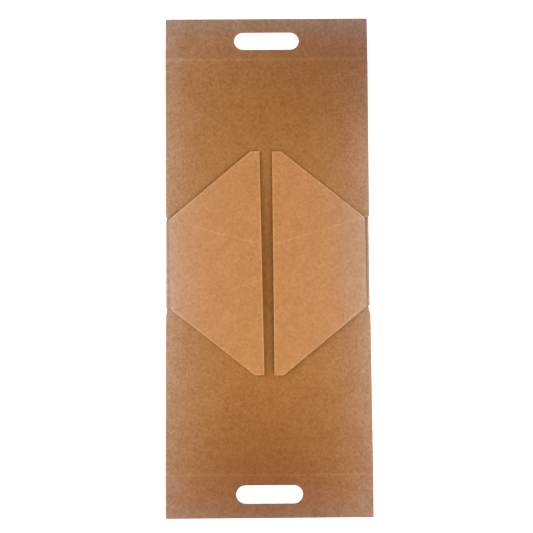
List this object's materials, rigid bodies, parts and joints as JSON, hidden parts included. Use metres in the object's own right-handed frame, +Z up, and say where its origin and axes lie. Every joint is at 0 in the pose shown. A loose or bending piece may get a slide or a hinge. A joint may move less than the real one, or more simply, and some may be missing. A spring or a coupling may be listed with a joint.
{
  "type": "flattened cardboard box",
  "caption": "Die-cut corrugated kraft carrier box laid flat: base, walls, a handle flap with hand slot at each end, and side flaps folded in over the base.",
  "frame": {"origin": "on the floor under the middle of the base panel", "axes": "+X across the walls to the right, +Y along the blank towards the rear handle flap, +Z up out of the box's inside"},
  "size_m": [0.28, 0.684, 0.0128],
  "materials": {
    "kraft_board": "matte uncoated kraft, brown, slightly mottled fibres"
  },
  "bodies": {
    "sheet": {"base_and_walls": "kraft_board"},
    "left_flap": {"left_side_flap": "kraft_board"},
    "right_flap": {"right_side_flap": "kraft_board"},
    "rear_handle": {"rear_handle_flap": "kraft_board"},
    "front_handle": {"front_handle_flap": "kraft_board"}
  },
  "joints": [
    {"name": "left_fold", "type": "hinge", "parent": "sheet", "child": "left_flap", "pos_m": [-0.13795, 0, 0.00315], "axis": [0, -1, 0], "range_deg": [0, 177]},
    {"name": "right_fold", "type": "hinge", "parent": "sheet", "child": "right_flap", "pos_m": [0.13735, 0, 0.00315], "axis": [0, 1, 0], "range_deg": [0, 177]},
    {"name": "rear_crease", "type": "hinge", "parent": "sheet", "child": "rear_handle", "pos_m": [0, 0.284, 0.00853], "axis": [1, 0, 0], "range_deg": [0, 178]},
    {"name": "front_crease", "type": "hinge", "parent": "sheet", "child": "front_handle", "pos_m": [0, -0.284, 0.00853], "axis": [-1, 0, 0], "range_deg": [0, 178]}
  ]
}
